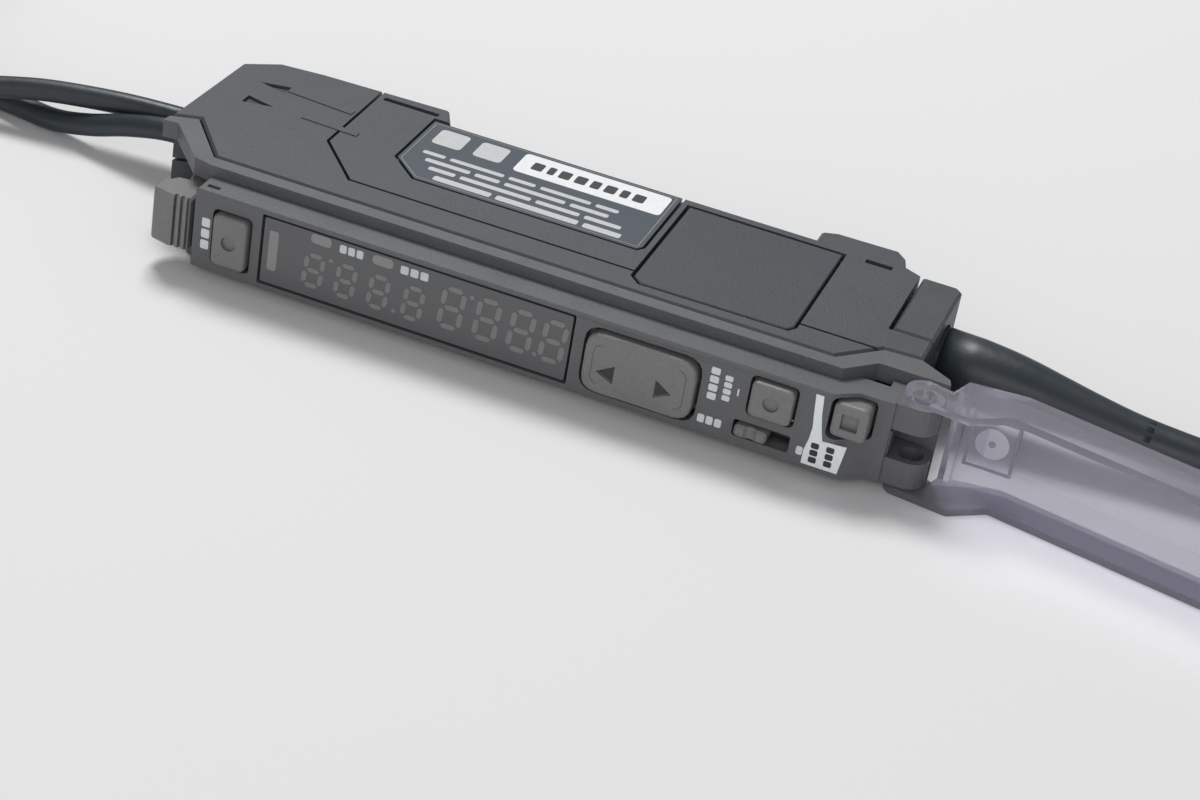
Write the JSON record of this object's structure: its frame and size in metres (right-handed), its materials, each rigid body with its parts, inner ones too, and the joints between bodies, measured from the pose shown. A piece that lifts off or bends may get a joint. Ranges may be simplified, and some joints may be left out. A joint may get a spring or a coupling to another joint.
{
  "type": "fibre optic sensor amplifier",
  "caption": "Slim DIN-rail amplifier for fibre optic sensors, with a digit display, keys, an open hinged dust cover, a power cable and fibre leads.",
  "frame": {"origin": "on the wide side face that the part lies on, under the middle of the rail slot", "axes": "+X along the panel towards the cable end, +Y from the panel towards the DIN rail, +Z through the thickness, label side up"},
  "size_m": [0.2889, 0.0434, 0.027],
  "materials": {
    "housing_plastic": "fine matte charcoal moulding",
    "key_plastic": "mid grey moulding",
    "display_window": "smoked window",
    "smoke_cover": "smoke-coloured clear moulding",
    "circuit_board": "board laminate",
    "metal": "plated metal",
    "label": "printed film, bare of words",
    "cord_jacket": "smooth vinyl jacket"
  },
  "bodies": {
    "housing": {"front_case_upper": "housing_plastic", "front_case_lower": "housing_plastic", "rear_case_upper": "housing_plastic", "rear_case_lower": "housing_plastic", "panel_frame": "housing_plastic", "side_cover_plate": "housing_plastic", "cable_end_cap": "housing_plastic", "cable_gland": "cord_jacket", "rating_label": "label", "display_window": "display_window", "display_module": "display_window", "display_board": "circuit_board", "main_board": "circuit_board", "set_switch": "metal", "mode_switch": "metal", "preset_switch": "metal", "rocker_switch_left": "metal", "rocker_switch_right": "metal", "slide_switch": "metal", "fibre_holder": "housing_plastic", "light_emitter": "display_window", "photo_receiver": "display_window", "lever_pin": "metal", "power_cable": "cord_jacket", "power_cable_coil": "cord_jacket", "power_cable_tie": "key_plastic", "power_cable_end": "cord_jacket", "core_1": "cord_jacket", "core_2": "cord_jacket", "core_3": "cord_jacket", "core_4": "cord_jacket", "fibre_1": "cord_jacket", "fibre_1_coil": "cord_jacket", "fibre_1_tie": "key_plastic", "fibre_1_head": "metal", "fibre_2": "cord_jacket", "fibre_2_coil": "cord_jacket", "fibre_2_tie": "key_plastic", "fibre_2_head": "metal"},
    "cover": {"dust_cover": "smoke_cover"},
    "lock_lever": {"fibre_lock_lever": "key_plastic"},
    "set_key": {"set_button": "key_plastic"},
    "mode_key": {"mode_button": "key_plastic"},
    "preset_key": {"preset_button": "key_plastic"},
    "rocker": {"rocker_button": "key_plastic"},
    "slide_knob": {"slide_switch_knob": "key_plastic"}
  },
  "joints": [
    {"name": "cover_hinge", "type": "hinge", "parent": "housing", "child": "cover", "pos_m": [0.03375, -0.01145, 0.0049], "axis": [0, 0, 1], "range_deg": [-169.45, 0]},
    {"name": "lever_hinge", "type": "hinge", "parent": "housing", "child": "lock_lever", "pos_m": [-0.03385, -0.0068, 0.0049], "axis": [0, 0, 1], "range_deg": [-35, 0]},
    {"name": "set_press", "type": "slide", "parent": "housing", "child": "set_key", "axis": [0, 1, 0], "range_m": [0, 0.0003], "stiffness_N_per_m": 1500},
    {"name": "mode_press", "type": "slide", "parent": "housing", "child": "mode_key", "axis": [0, 1, 0], "range_m": [0, 0.0003], "stiffness_N_per_m": 1500},
    {"name": "preset_press", "type": "slide", "parent": "housing", "child": "preset_key", "axis": [0, 1, 0], "range_m": [0, 0.0003], "stiffness_N_per_m": 1500},
    {"name": "rocker_tilt", "type": "hinge", "parent": "housing", "child": "rocker", "pos_m": [0.0102, -0.0138, 0.00485], "axis": [0, 0, 1], "range_deg": [-2, 2], "stiffness_Nm_per_rad": 0.02},
    {"name": "slide_switch_travel", "type": "slide", "parent": "housing", "child": "slide_knob", "axis": [1, 0, 0], "range_m": [0, 0.0017]}
  ]
}
